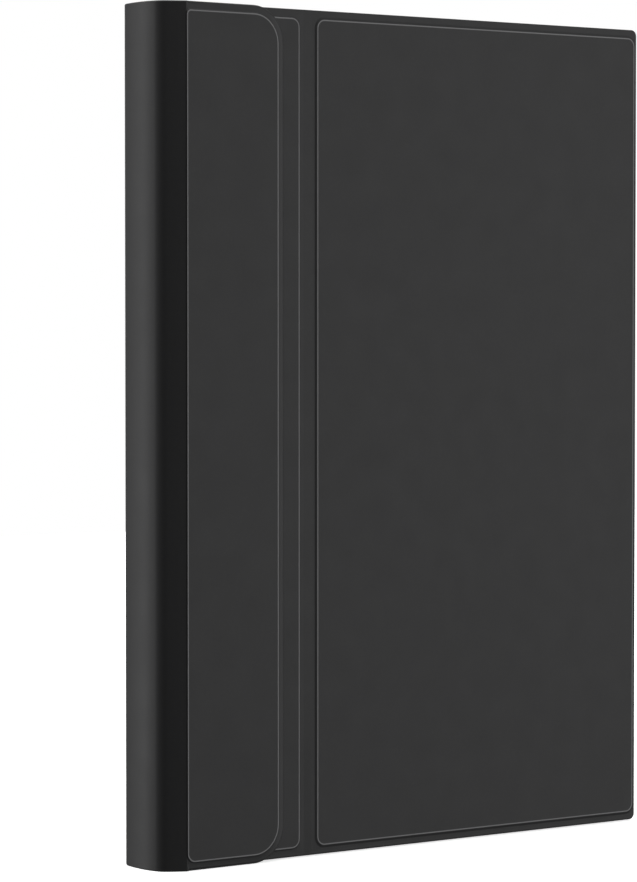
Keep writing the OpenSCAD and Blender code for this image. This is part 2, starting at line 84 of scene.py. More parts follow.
EMBOSS = 0.3          # height of the embossed panels above their margins
MARGIN = 3.0          # width of the flat margin outside a panel
LEATHER = 0.8         # thickness of the wrap round the spine
LINING = 0.5          # thickness of the microfibre linings
RIM_DROP = 0.12       # how far the turned-in leather lies below its lining
EDGE_ROLL = 0.5       # radius of a cover's rolled outer edge
SHARP = 0.05          # smallest corner radius that an outline keeps
HAIR = 0.02           # clearance between parts that lie against each other
SEAM = 1              # width of a cover under the wrap's edge, and of a free edge beside its panel
MARGIN_Y = COVER_HI.y - EMBOSS  # the margins' level on the cover's side, and with a minus on the flap's
SEAM_X = COVER_LO.x + SEAM      # the line where the wrap dives under a cover's panel
FOLD_X = (STRIP_HI.x + BACK_LO.x) / 2
FOLD_Y = STRIP_LO.y + EMBOSS    # the margins' level on the strip and the back panel
FOLD_SEAM = 1.35      # where the fold's leather dives under its two panels


# ------------------------------------------------------------ mesh helpers

def outline(x0, x1, z0, z1, radii, steps=12, cuts=2):
    """Points of a rectangle with its own radius at each corner, from low x, low z round to high x."""
    low_x, high_x = (x0 + radii[0], x0 + radii[3]), (x1 - radii[1], x1 - radii[2])
    centres = [
        (low_x[0], z0 + radii[0], 180), (high_x[0], z0 + radii[1], 270),
        (high_x[1], z1 - radii[2], 0), (low_x[1], z1 - radii[3], 90),
    ]
    points = []
    for i, (cx, cz, start) in enumerate(centres):
        for k in range(steps + 1):
            a = math.radians(start + 90 * k / steps)
            points.append((cx + radii[i] * math.cos(a), cz + radii[i] * math.sin(a)))
        j = (i + 1) % 4
        a = math.radians(centres[j][2])
        end = centres[j][0] + radii[j] * math.cos(a), centres[j][1] + radii[j] * math.sin(a)
        here = points[-1]
        for k in range(1, cuts + 1):
            t = k / (cuts + 1)
            points.append((here[0] + t * (end[0] - here[0]), here[1] + t * (end[1] - here[1])))
    return points


def ring(rect, inset, y, left=1.0, right=1.0, **detail):
    """An outline moved in by inset, at level y; left and right scale the inset on those sides."""
    x0, x1, z0, z1, radii = rect
    points = outline(x0 + inset * left, x1 - inset * right, z0 + inset, z1 - inset,
                     [max(r - inset, SHARP) for r in radii], **detail)
    return [(x, y, z) for x, z in points]


def loft(bm, rings, marks=None):
    """Skins closed rings in order and closes both ends; the rings' marks go to the edge attribute."""
    layer = bm.verts.layers.float.get("edge") or bm.verts.layers.float.new("edge")
    rows = []
    for i, points in enumerate(rings):
        rows.append([bm.verts.new(p) for p in points])
        values = marks[i] if marks else 0.0
        for k, v in enumerate(rows[-1]):
            v[layer] = values[k] if isinstance(values, list) else values
    n = len(rows[0])
    for a, b in zip(rows, rows[1:]):
        for i in range(n):
            j = (i + 1) % n
            bm.faces.new((a[i], a[j], b[j], b[i]))
    bm.faces.new(rows[0])
    bm.faces.new(rows[-1])


def ease(t):
    """Goes smoothly from 0 to 1 as t does."""
    return t * t * (3 - 2 * t)


def turn(r, steps=6):
    """A quarter circle as (along, across) pairs, from (0, r) to (r, 0)."""
    angles = [math.pi / 2 * k / steps for k in range(steps + 1)]
    return [(r * (1 - math.cos(a)), r * (1 - math.sin(a))) for a in angles]


def make_object(name, bm, *materials, sharp=40):
    """Turns a bmesh in millimetres into an object in metres."""
    bmesh.ops.recalc_face_normals(bm, faces=bm.faces)
    bmesh.ops.scale(bm, vec=Vector((MM, MM, MM)), verts=bm.verts)
    mesh = bpy.data.meshes.new(name)
    bm.to_mesh(mesh)
    bm.free()
    mesh.shade_smooth()
    mesh.set_sharp_from_angle(angle=math.radians(sharp))
    for material in materials:
        mesh.materials.append(material)
    obj = bpy.data.objects.new(name, mesh)
    bpy.context.scene.collection.objects.link(obj)
    return obj


def carve(obj, cutter, sharp=14):
    """Takes the cutter's solids out of obj, and removes the cutter."""
    modifier = obj.modifiers.new("carve", "BOOLEAN")
    modifier.operation, modifier.solver, modifier.object = "DIFFERENCE", "EXACT", cutter
    modifier.use_self = True  # the cutter's solids may overlap each other
    shape = obj.evaluated_get(bpy.context.evaluated_depsgraph_get())
    mesh = bpy.data.meshes.new_from_object(shape)
    obj.modifiers.clear()
    obj.data = mesh
    mesh.shade_smooth()
    mesh.set_sharp_from_angle(angle=math.radians(sharp))
    bpy.data.objects.remove(cutter)
    return obj


def finish_piece(obj, body=None, nodes=()):
    """Hides the CAD nodes that the piece stands for, and hangs it on the body it rides on."""
    if nodes:
        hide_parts(*nodes)
    if body:
        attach(obj, body)
    return obj


# ------------------------------------------------------------ materials

class Shader:
    """A principled material whose colour, roughness and bump are built up in layers."""

    def __init__(self, name, colour, rough, **constants):
        self.material = bpy.data.materials.new(name)
        self.material.use_nodes = True
        self.tree = self.material.node_tree
        self.bsdf = self.tree.nodes["Principled BSDF"]
        self.bsdf.inputs["Base Color"].default_value = (*colour, 1)
        self.bsdf.inputs["Roughness"].default_value = rough
        for key, value in constants.items():
            self.bsdf.inputs[key.replace("_", " ")].default_value = value
        self.colour, self.rough, self.normal = colour, rough, None
        self.place = self.add("ShaderNodeTexCoord").outputs["Object"]

    def add(self, kind, **settings):
        node = self.tree.nodes.new(kind)
        for key, value in settings.items():
            setattr(node, key, value)
        return node

    def link(self, a, b):
        self.tree.links.new(a, b)

    def noise(self, size_mm, detail=3.0, stretch=(1, 1, 1)):
        """Noise whose features are about size_mm across."""
        mapping = self.add("ShaderNodeMapping")
        mapping.inputs["Scale"].default_value = stretch
        self.link(self.place, mapping.inputs["Vector"])
        node = self.add("ShaderNodeTexNoise")
        node.inputs["Scale"].default_value = 1 / (size_mm * MM)
        node.inputs["Detail"].default_value = detail
        node.inputs["Roughness"].default_value = 0.55
        self.link(mapping.outputs["Vector"], node.inputs["Vector"])
        return node.outputs["Fac"]

    def cells(self, size_mm):
        """Rounded cells about size_mm across, such as the pebbles of a leather grain."""
        node = self.add("ShaderNodeTexVoronoi", feature="SMOOTH_F1")
        node.inputs["Scale"].default_value = 1 / (size_mm * MM)
        node.inputs["Smoothness"].default_value = 0.6
        self.link(self.place, node.inputs["Vector"])
        return node.outputs["Distance"]

    def edge(self):
        """The mark that loft leaves on some edges: painted highlights and a smoother gloss on the leather,
        rougher rims on the caps.
        """
        return self.add("ShaderNodeAttribute", attribute_name="edge").outputs["Fac"]

    def between(self, source, low, high, to_low, to_high):
        """Maps the source's range from low to high onto the range from to_low to to_high."""
        node = self.add("ShaderNodeMapRange")
        ends = {"From Min": low, "From Max": high, "To Min": to_low, "To Max": to_high}
        for key, value in ends.items():
            node.inputs[key].default_value = value
        self.link(source, node.inputs["Value"])
        return node.outputs["Result"]

    def tint(self, source, colour, low=0.35, high=0.7):
        """Mixes the colour so far towards another where the source is high."""
        first, second, result = 6, 7, 2  # the node's colour sockets
        mix = self.add("ShaderNodeMix", data_type="RGBA")
        self.link(self.between(source, low, high, 0, 1), mix.inputs["Factor"])
        target = self.bsdf.inputs["Base Color"]
        if target.links:
            self.link(target.links[0].from_socket, mix.inputs[first])
        else:
            mix.inputs[first].default_value = (*self.colour, 1)
        mix.inputs[second].default_value = (*colour, 1)
        self.link(mix.outputs[result], target)

    def roughen(self, source, amount, low=0.3, high=0.7):
        """Adds up to amount to the roughness where the source is high, and takes it off where low."""
        shift = self.between(source, low, high, -amount, amount)
        target = self.bsdf.inputs["Roughness"]
        total = self.add("ShaderNodeMath", operation="ADD", use_clamp=True)
        if target.links:
            self.link(target.links[0].from_socket, total.inputs[0])
        else:
            total.inputs[0].default_value = self.rough
        self.link(shift, total.inputs[1])
        self.link(total.outputs[0], target)

    def bump(self, source, depth_mm, strength=1.0):
        """Adds a layer of fine relief."""
        node = self.add("ShaderNodeBump")
        node.inputs["Strength"].default_value = strength
        node.inputs["Distance"].default_value = depth_mm * MM
        self.link(source, node.inputs["Height"])
        if self.normal:
            self.link(self.normal, node.inputs["Normal"])
        self.normal = node.outputs["Normal"]
        self.link(self.normal, self.bsdf.inputs["Normal"])


def pu_leather():
    """Black leather with a fine pebble grain, and a painted highlight that makes it paler where its edge
    mark is.
    """
    s = Shader("pu_leather_black", (0.0125, 0.0125, 0.0132), 0.47, Specular_IOR_Level=0.42)
    s.tint(s.noise(60, 2), (0.0119, 0.0119, 0.0125))
    s.tint(s.noise(1.4, 4), (0.0145, 0.0145, 0.0152), 0.45, 0.75)
    # painted highlight: the edge mark turns the colour light grey along the embossed lines and the flap's
    # margin
    s.tint(s.edge(), (0.175, 0.175, 0.178), 0, 1)
    s.roughen(s.noise(9, 3), 0.015)
    s.roughen(s.edge(), 0.07, 1.0, 0.0)
    s.bump(s.noise(22, 2), 0.02, 0.2)
    s.bump(s.cells(0.55), 0.012, 0.5)
    s.bump(s.noise(0.22, 2), 0.008, 0.45)
    return s.material


def microfibre():
    """Grey napped lining."""
    s = Shader("microfibre_grey", (0.06, 0.06, 0.063), 0.9,
               Specular_IOR_Level=0.15, Sheen_Weight=0.45, Sheen_Roughness=0.5)
    s.tint(s.noise(34, 3), (0.05, 0.05, 0.053))
    s.tint(s.noise(0.9, 5, (1, 1, 0.45)), (0.085, 0.085, 0.09), 0.5, 0.75)
    s.roughen(s.noise(12, 2), 0.05)
    s.bump(s.noise(0.35, 4, (1, 1, 0.4)), 0.05, 0.7)
    s.bump(s.noise(14, 2), 0.06, 0.4)
    return s.material


def soft_tpu():
    """Soft black moulding."""
    s = Shader("soft_tpu_black", (0.016, 0.016, 0.017), 0.52, Specular_IOR_Level=0.4)
    s.tint(s.noise(25, 3), (0.02, 0.02, 0.021))
    s.roughen(s.noise(6, 3), 0.05)
    s.bump(s.noise(0.3, 3), 0.014, 0.6)
    s.bump(s.noise(18, 1), 0.03, 0.4)
    return s.material


def moulded_plastic(name, colour, rough, grain_mm=0.22, depth_mm=0.012):
    """Hard plastic with a spark-eroded grain."""
    s = Shader(name, colour, rough, Specular_IOR_Level=0.5)
    s.tint(s.noise(30, 3), tuple(c * 1.18 for c in colour))
    s.roughen(s.noise(5, 3), 0.04)
    s.bump(s.noise(grain_mm, 2), depth_mm, 0.6)
    return s.material


def keycap_plastic():
    """Black caps, a little rougher at their rims."""
    s = Shader("keycap_black", (0.016, 0.016, 0.017), 0.42, Specular_IOR_Level=0.5)
    s.tint(s.noise(8, 3), (0.02, 0.02, 0.021))
    s.roughen(s.edge(), 0.06, 0.0, 1.0)
    s.roughen(s.noise(3, 3), 0.03)
    s.bump(s.noise(0.18, 2), 0.007, 0.6)
    return s.material


def metal(name, colour, rough, stretch=(1, 1, 0.05)):
    """Metal whose scratches are drawn out by stretch."""
    s = Shader(name, colour, rough, Metallic=1.0)
    s.tint(s.noise(6, 3), tuple(c * 0.82 for c in colour))
    s.roughen(s.noise(0.4, 3, stretch), 0.1)
    s.bump(s.noise(0.3, 2, stretch), 0.004, 0.5)
    return s.material


def plain_stock(name, colour, rough, grain_mm, depth_mm):
    """Card, foil, sheet and board stock inside the folio."""
    s = Shader(name, colour, rough, Specular_IOR_Level=0.35)
    s.tint(s.noise(12, 4), tuple(c * 0.8 for c in colour))
    s.tint(s.noise(grain_mm * 3, 4), tuple(min(c * 1.15, 1) for c in colour), 0.5, 0.8)
    s.roughen(s.noise(4, 3), 0.06)
    s.bump(s.noise(grain_mm, 3), depth_mm, 0.6)
    return s.material


def legend_ink():
    """The pale print on the caps."""
    s = Shader("legend_ink", (0.72, 0.72, 0.73), 0.55, Specular_IOR_Level=0.4)
    s.tint(s.noise(0.4, 3), (0.6, 0.6, 0.61))
    s.roughen(s.noise(1, 2), 0.05)
    s.bump(s.noise(0.1, 2), 0.003, 0.4)
    return s.material


LEATHER_MAT = pu_leather()
MICROFIBRE_MAT = microfibre()
TPU_MAT = soft_tpu()
CASE_MAT = moulded_plastic("keyboard_plastic_graphite", (0.048, 0.048, 0.051), 0.45)
KEY_MAT = keycap_plastic()
PAD_MAT = moulded_plastic("touchpad_satin", (0.04, 0.04, 0.043), 0.3, 0.12, 0.003)
INK_MAT = legend_ink()
STEEL_MAT = metal("steel_brushed", (0.62, 0.63, 0.65), 0.3)

SLOT_MATERIALS = {
    "pu_leather": LEATHER_MAT,
    "stiffener_board": plain_stock("greyboard", (0.34, 0.31, 0.27), 0.9, 0.6, 0.05),
    "microfibre": MICROFIBRE_MAT,
    "soft_tpu": TPU_MAT,
    "magnet_nickel": metal("magnet_nickel", (0.66, 0.65, 0.62), 0.22, (1, 1, 1)),
    "steel": STEEL_MAT,
    "keyboard_plastic": CASE_MAT,
    "keycap_plastic": KEY_MAT,
    "touchpad_surface": PAD_MAT,
    "silicone_domes": plain_stock("silicone_translucent", (0.62, 0.62, 0.58), 0.45, 0.5, 0.01),
    "membrane": plain_stock("membrane_film", (0.16, 0.26, 0.21), 0.35, 1.2, 0.004),
    "circuit": plain_stock("solder_mask", (0.012, 0.12, 0.045), 0.4, 0.8, 0.01),
    "battery_foil": metal("battery_foil", (0.58, 0.58, 0.6), 0.4, (1, 1, 0.2)),
    "adhesive": plain_stock("adhesive_film", (0.2, 0.19, 0.16), 0.6, 0.9, 0.02),
    "light_pipe": plain_stock("light_pipe", (0.75, 0.78, 0.8), 0.25, 0.6, 0.002),
}


def dress_cad_nodes():
    """Gives every CAD node that stays in view the finish of its slot."""
    for subpart in frame["record"]["subparts"]:
        node = frame["nodes"][subpart["node"]]
        node.data.materials.clear()
        node.data.materials.append(SLOT_MATERIALS[subpart["material_slot"]])


# ------------------------------------------------------------ leather covers

RIM = 1.5             # width of the leather turned in round a lining
WIDE_SLOPE, NARROW_SLOPE = 0.85, 0.4  # width of the slope outside a panel's line
UNDER_WRAP = 0.1, 0.55  # clearance and slope of a cover's leather where the wrap covers it
DROOP_RUN = 60.0      # how far from the flap's free side its margin starts to droop


def embossed_edge(slope):
    """An embossed panel's edge as (inset from its line, depth, painted highlight); it stands above the
    margin.
    """
    rows = [(slope * (t - 1), -0.85 * EMBOSS * ease(t), 0.0) for t in (0, 0.15, 0.3, 0.5, 0.7, 0.85, 1.0)]
    rows += [(0.04, -0.29, 0.8), (0.1, -0.315, 1.0), (0.2, -0.33, 1.0), (0.3, -0.325, 1.0),
             (0.38, -0.315, 0.7), (0.48, -0.303, 0.0)]
    return rows + [(inset, -EMBOSS, 0.0) for inset in (0.7, 1.2, 6.0)]


def leather_slab(name, rect, panel, y_margin, side, depth, body, node, left=1.0, right=1.0,
                 slope=NARROW_SLOPE, hinged=False, roll=EDGE_ROLL, droop=0.0, painted_margin_highlight=0.0):
    """A cover's leather: turned-in rim, rolled edge, margin and embossed panel.

    The margin lies at y_margin and faces +Y where side is 1. Depths count inwards from it, and depth is
    that of the lining's face. left and right scale the rolled edge's inset on those sides.
    """
    def lay(points):
        """Puts points of (x, depth, z) in place, sunk where the wrap covers them, and drooping."""
        placed = []
        for x, d, z in points:
            if hinged and x < SEAM_X:
                d = max(d, UNDER_WRAP[0] + UNDER_WRAP[1] * (SEAM_X - x))
            t = min(max(1 - (rect[1] - x) / DROOP_RUN, 0), 1)
            placed.append((x, y_margin - side * (d + droop * ease(t)), z))
        return placed

    def with_painted_highlight(points, mark):
        """Marks a ring, with a painted highlight that makes the free side's margin paler."""
        inner, fade = rect[1] - 6, 3
        return [max(mark, painted_margin_highlight * min(max((x - inner) / fade, 0), 1)) for x, _, _ in points]

    start = rect[0]
    if hinged:
        start = SEAM_X + HAIR
        left = (start - rect[0]) / (roll + HAIR)
    rim = depth - RIM_DROP
    rings = [ring(rect, i, y_margin - side * d) for i, d in (
        (RIM + 2.5, depth - LINING), (RIM + HAIR, depth - LINING), (RIM, rim), (RIM - 0.1, rim),
        (EDGE_ROLL + 0.05, rim))]
    rings += [ring(rect, i, y_margin - side * (rim - d)) for d, i in turn(EDGE_ROLL)]
    rings += [lay(ring(rect, i, d, left, right)) for i, d in turn(roll)]
    rings.append(lay(ring(rect, roll + HAIR, 0, left, right)))
    # the marks paint a highlight into the free side's margin
    marks = [with_painted_highlight(points, 0.0) for points in rings]
    # the embossed lines' marks are a painted highlight
    for inset, d, mark in embossed_edge(slope):
        points = ring(panel, inset, d)
        rings.append([(max(x, start), y_margin - side * d, z) for x, _, z in points])
        marks.append(with_painted_highlight(points, mark) if inset <= 0 else mark)
    bm = bmesh.new()
    loft(bm, rings, marks)
    return finish_piece(make_object(name, bm, LEATHER_MAT), body, [node])


def lining(name, rect, y_margin, side, depth, body, node):
    """A microfibre lining, laid in the pocket that its cover's leather leaves."""
    def level(d):
        return y_margin - side * d

    soft, edge = 0.14, RIM + HAIR
    rings = [ring(rect, edge, level(depth - LINING + HAIR)), ring(rect, edge, level(depth - soft))]
    rings += [ring(rect, edge + i, level(depth - d)) for i, d in turn(soft, 4)[1:]]
    rings += [ring(rect, RIM + 0.5, level(depth)), ring(rect, RIM + 6, level(depth))]
    bm = bmesh.new()
    loft(bm, rings)
    obj = finish_piece(make_object(name, bm, MICROFIBRE_MAT), body, [node])
    return obj


def strip_loop(z0, z1, thickness):
    """A strip's closed section as (depth, z), from the outer face round both ends."""
    high_end = [(a, z1 - b) for a, b in turn(EDGE_ROLL)]
    high_end += [(thickness - b, z1 - a) for a, b in turn(thickness - EDGE_ROLL, 4)[1:]]
    low_end = [(d, z0 + z1 - z) for d, z in reversed(high_end)]
    run = [z0 + (z1 - z0) * t for t in (0.25, 0.5, 0.75)]
    return [(0.0, z) for z in run] + high_end + [(thickness, z) for z in reversed(run)] + low_end


def sweep_strip(name, steps, place, z0, z1, *materials):
    """Sweeps a strip's section along the steps; place maps (step, depth) to (x, y)."""
    bm = bmesh.new()
    loft(bm, [[(*place(step, d), z) for d, z in strip_loop(z0, z1, LEATHER)] for step in steps])
    return make_object(name, bm, *materials)


def paint_inside(obj, steps, place):
    """Gives the strip's inner faces the second material."""
    inner = [Vector((*place(step, LEATHER), 0)) * MM for step in steps]
    near = 0.05 * MM
    for face in obj.data.polygons:
        c = face.center
        if any((Vector((c.x, c.y, 0)) - (a + b) / 2).length < near for a, b in zip(inner, inner[1:])):
            face.material_index = 1


# The wrap's section on each side: distance from the panel's line, and the angle turned by there
FLAP_WRAP = [(0, 25), (5.5, 31), (9.8, 74), (16.17, 90)]
COVER_WRAP = [(0, 9), (4.3, 14), (9.3, 80), (17.6, 90)]
WRAP_STEP = 0.2
WRAP_TUCKED = [(SEAM_X + 0.8, 0.12, 0.0), (SEAM_X + 0.4, 0.05, 0.0)]  # its end, under the panel
WRAP_CUT, WRAP_BEND = 6.4, 4.8  # where the wrap is cut into its crease and spine pieces, and a reach either side of that cut


def wrap_angle(turns, s):
    """How far the wrap has turned at the distance s from the panel's line."""
    for (s0, a0), (s1, a1) in zip(turns, turns[1:]):
        if s <= s1:
            return math.radians(a0 + (a1 - a0) * (s - s0) / (s1 - s0))
    return math.pi / 2


def wrap_section(turns):
    """Rows of (x, depth, angle) from a panel's line to the middle of the spine, WRAP_STEP apart."""
    rows = [(0.0, 0.0, wrap_angle(turns, 0))]
    for k in range(round(turns[-1][0] / WRAP_STEP)):
        a = wrap_angle(turns, (k + 0.5) * WRAP_STEP)
        x, depth, _ = rows[-1]
        x, depth = x + math.cos(a) * WRAP_STEP, depth + math.sin(a) * WRAP_STEP
        rows.append((x, depth, wrap_angle(turns, (k + 1) * WRAP_STEP)))
    wide, deep = (SEAM_X - SPINE_LO.x) / rows[-1][0], MARGIN_Y / rows[-1][1]
    middle = SPINE_LO.x, MARGIN_Y, math.pi / 2
    return [(SEAM_X - x * wide, depth * deep, a) for x, depth, a in rows[:-1]] + [middle]


def wrap_side(side, turns, cover, tag):
    """One side's wrap, cut in two: the crease's leather and the spine's."""
    crease = tag + "_crease"
    rows = wrap_section(turns)
    cut, reach = round(WRAP_CUT / WRAP_STEP), round(WRAP_BEND / WRAP_STEP)

    def place(row, d):
        x, depth, a = row
        return x + d * math.sin(a), side * (MARGIN_Y - depth - d * math.cos(a))

    for name, steps, body, start, node in (
            (crease + "_leather", WRAP_TUCKED + rows[:cut + 1], cover, cut - reach, crease),
            ("spine_leather_" + tag, rows[cut:], "spine", cut + reach, "spine_skin")):
        obj = sweep_strip(name, steps, place, 0, CASE_H, LEATHER_MAT, MICROFIBRE_MAT)
        paint_inside(obj, steps, place)
        finish_piece(obj, None, [node])
        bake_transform(obj)


def spine_leather():
    """The leather that wraps from each cover round the spine."""
    wrap_side(1, COVER_WRAP, "front_cover", "cover")
    wrap_side(-1, FLAP_WRAP, "flap", "flap")


def fold_leather():
    """The leather across the stand's fold, between the strip and the back panel."""
    def place(step, d):
        s, drop = step
        return FOLD_X + s, FOLD_Y + d + drop

    reach = FOLD_SEAM + 0.4
    inner = [-FOLD_SEAM + 2 * FOLD_SEAM * k / 30 for k in range(31)]
    steps = [(-reach, 0.1), (-FOLD_SEAM - 0.2, 0.03)] + [(s, 0.0) for s in inner]
    steps += [(FOLD_SEAM + 0.2, 0.03), (reach, 0.1)]
    obj = sweep_strip("fold_leather", steps, place, STRIP_LO.z, STRIP_HI.z, LEATHER_MAT, MICROFIBRE_MAT)
    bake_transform(obj)


def covers():
    """The leather and the lining of the two covers, the flap and the stand's strip."""
    square, corner, big, flap_margin, fold_margin, at_fold = 0.6, 2, 2.8, 2.6, 3.3, 2.4
    panel_z = MARGIN, CASE_H - MARGIN
    flap_z = flap_margin, CASE_H - flap_margin
    cover_rect = (COVER_LO.x, COVER_HI.x, 0, CASE_H, [square, corner, corner, square])
    cover_panel = (SEAM_X, COVER_HI.x - SEAM, *panel_z, [3] * 4)
    flap_rect = (FLAP_LO.x, FLAP_HI.x, 0, CASE_H, [square, 11, 11, square])
    flap_panel = (FLAP_LO.x + SEAM, FLAP_HI.x - flap_margin, *flap_z, [2.7, 8.8, 8.8, 1.5])
    strip_rect = (STRIP_LO.x, STRIP_HI.x, STRIP_LO.z, STRIP_HI.z, [corner, square, square, corner])
    strip_panel = (STRIP_LO.x + 2, FOLD_X - fold_margin, *panel_z, [corner, big, big, corner])
    back_rect = (BACK_LO.x, BACK_HI.x + 0.25, BACK_LO.z, BACK_HI.z, [square, corner, corner, square])
    back_panel = (FOLD_X + fold_margin, BACK_HI.x - SEAM, *panel_z, [big] * 4)
    cover_depth = COVER_HI.y - COVER_LO.y - EMBOSS
    depth = FLAP_HI.y - FLAP_LO.y - EMBOSS
    for tag, rect, panel, lie, body, finish in (
            ("front_cover", cover_rect, cover_panel, (MARGIN_Y, 1, cover_depth), "front_cover",
             {"hinged": True}),
            ("flap", flap_rect, flap_panel, (-MARGIN_Y, -1, depth), "flap",
             # the flap's margin gets a painted highlight towards its free side
             {"hinged": True, "roll": 0.9, "droop": 0.3, "painted_margin_highlight": 0.055}),
            ("strip", strip_rect, strip_panel, (FOLD_Y, -1, depth), "stand_strip", {"right": at_fold}),
            ("back_panel", back_rect, back_panel, (FOLD_Y, -1, depth), "tablet_side",
             {"left": at_fold, "slope": WIDE_SLOPE})):
        leather_slab(tag + "_leather", rect, panel, *lie, body, tag + "_skin", **finish)
        lining(tag + "_fabric", rect, *lie, body, tag + "_lining")


def spine_fabric():
    """The lining inside the spine, wrapped round its board."""
    lo, hi = span("spine_lining")
    board_lo, _ = span("spine_board")
    bm = bmesh.new()
    rings = []
    for x, inset in ((board_lo.x, 0.3), (board_lo.x + 0.3, 0.0), (hi.x - 0.14, 0.0), (hi.x - 0.04, 0.05),
                     (hi.x, 0.15), (hi.x, 0.8)):
        points = outline(lo.y + inset, hi.y - inset, lo.z + inset, hi.z - inset, [0.4] * 4, steps=5)
        rings.append([(x, y, z) for y, z in points])
    loft(bm, rings)
    obj = make_object("spine_fabric", bm, MICROFIBRE_MAT)
    finish_piece(obj, "spine", ["spine_lining", "spine_board"])


# ------------------------------------------------------------ stand bar and tablet tray

def smooth_profile(points):
    """Cuts the corners of a profile twice, and keeps its first and last point, which are on the lining."""
    for _ in range(2):
        out = [points[0]]
        for (ax, ay), (bx, by) in zip(points, points[1:]):
            out += [(0.8 * ax + 0.2 * bx, 0.8 * ay + 0.2 * by), (0.2 * ax + 0.8 * bx, 0.2 * ay + 0.8 * by)]
        points = out + [points[-1]]
    return points


def stand_bar():
    """The soft bar with a hollow back that the tray's edge leans behind."""
    foot, back, top, base = BAR_LO.x, BAR_HI.x, BAR_LO.y, BAR_HI.y
    profile = smooth_profile([
        (foot, base), (foot + 1, base - 1), (foot + 3, base - 2.5), (foot + 5, base - 4.5),
        (foot + 6.6, top), (back, top), (back, base)])
    cx, cy = (foot + back) / 2 + 1, base
    rings = []
    for t, scale in ((0, 0.86), (0.25, 0.93), (0.7, 0.98), (1.3, 1.0)):
        rings.append([(cx + scale * (x - cx), cy + scale * (y - cy), BAR_LO.z + t) for x, y in profile])
    rings += [[(x, y, MID_Z) for x, y in profile]]
    rings += [[(x, y, BAR_LO.z + BAR_HI.z - z) for x, y, z in r] for r in reversed(rings[:4])]
    bm = bmesh.new()
    loft(bm, rings)
    bar = make_object("stand_bar_body", bm, TPU_MAT, sharp=50)
    finish_piece(bar, "front_cover", ["stand_bar"])


def slot_cutter(bm, x0, x1, y0, y1, z0, z1):
    """A round-ended slot through a short wall, along Z."""
    r = min(x1 - x0, y1 - y0) / 2 - HAIR
    points = outline(x0, x1, y0, y1, [r] * 4, steps=8, cuts=0)
    loft(bm, [[(x, y, z) for x, y in points] for z in (z0, z1)])


def side_cutter(bm, y0, y1, z0, z1, x0, x1):
    """A round-ended slot through a long wall, along X."""
    r = (y1 - y0) / 2 - HAIR
    points = outline(y0, y1, z0, z1, [r] * 4, steps=8, cuts=0)
    loft(bm, [[(x, y, z) for y, z in points] for x in (x0, x1)])


TRAY_RECT = (TRAY_LO.x, TRAY_HI.x, TRAY_LO.z, TRAY_HI.z, [10, 10, 10, 10])
TRAY_WALL, TRAY_WALL_X = 1.25, 1.5   # thickness of the short and the long walls
TRAY_LIP, TRAY_SOFT = 1.2, 0.35      # how far the lip reaches in, and the round of its edges
TRAY_ROUND = 3.0                     # round of the edge towards the spine
TRAY_FLOOR, TRAY_UNDER = TRAY_LO.y + 1.2, TRAY_HI.y - 0.8
TRAY_HOLE = (TRAY_LO.x + TRAY_WALL_X, TRAY_HI.x - TRAY_WALL_X,
             TRAY_LO.z + TRAY_WALL, TRAY_HI.z - TRAY_WALL, [8.5] * 4)
TRAY_FIELD = [(1.0, 0), (3.2, 0), (3.5, -0.05), (3.8, -0.13), (4.1, -0.18), (4.6, -0.18), (9, -0.18)]


def tray_outer(inset, y):
    """A ring of the tray's outside; the edge towards the spine is rounded off."""
    rise = max(0.0, y - (TRAY_HI.y - TRAY_ROUND))
    cut = min(TRAY_ROUND - math.sqrt(TRAY_ROUND ** 2 - rise ** 2), TRAY_WALL_X + TRAY_LIP - TRAY_SOFT - 0.1)
    x0, x1, z0, z1, radii = TRAY_RECT
    points = outline(x0 + max(inset, cut), x1 - inset, z0 + inset, z1 - inset,
                     [max(r - inset, SHARP) for r in radii])
    return [(x, y, z) for x, z in points]


def tray_openings():
    """Cutters for the tray's slots: a port, speakers, and buttons."""
    cutter = bmesh.new()
    _, x1, _, z1, _ = TRAY_HOLE
    centre = (TRAY_HOLE[0] + x1) / 2
    low = TRAY_LO.z - 1
    high, floor = z1 - 0.75, TRAY_FLOOR
    slot_cutter(cutter, centre - 8, centre + 8, floor + 1, floor + 5.4, low, low + 3)
    for x in (centre - 52, centre + 28):
        for z in (low, high):
            slot_cutter(cutter, x, x + 24, floor + 1.6, floor + 4.8, z, z + 3)
    slot_cutter(cutter, x1 - 34, x1 - 16, floor + 1.2, floor + 5.2, high, z1 + 2.5)
    side_cutter(cutter, floor + 1.2, floor + 5.2, z1 - 61, z1 - 27, x1 - 0.75, x1 + 2.5)
    return make_object("tray_cutter", cutter)


def tablet_tray():
    """The moulded tray: rounded lip, undercut, floor with a raised field, and slots."""
    y0, y1, hole, under = TRAY_LO.y, TRAY_HI.y, TRAY_HOLE, TRAY_UNDER
    rings = [ring(TRAY_RECT, 8, y0), ring(TRAY_RECT, 0.7, y0)]
    rings += [tray_outer(b, y0 + a) for a, b in turn(0.6)]
    rings += [tray_outer(0, y1 - TRAY_ROUND + rise) for rise in (0, 0.5, 1, 1.5, 1.9, 2.3)]
    rings += [tray_outer(a, y1 - b) for a, b in turn(TRAY_SOFT, 5)]
    rings += [ring(hole, TRAY_LIP - b, y1 - a) for a, b in turn(TRAY_SOFT, 5)]
    rings += [ring(hole, inset, y) for inset, y in (
        (TRAY_LIP, under + 0.1), (TRAY_LIP - 0.1, under), (0.1, under), (0, under - 0.1))]
    rings += [ring(hole, a, TRAY_FLOOR + b) for a, b in turn(0.8)]
    rings += [ring(hole, inset, TRAY_FLOOR - rise) for inset, rise in TRAY_FIELD]
    bm = bmesh.new()
    loft(bm, rings)
    obj = make_object("tray_shell", bm, TPU_MAT)
    carve(obj, tray_openings(), sharp=30)
    finish_piece(obj, "tablet_side", ["tablet_tray"])


# ------------------------------------------------------------ keyboard

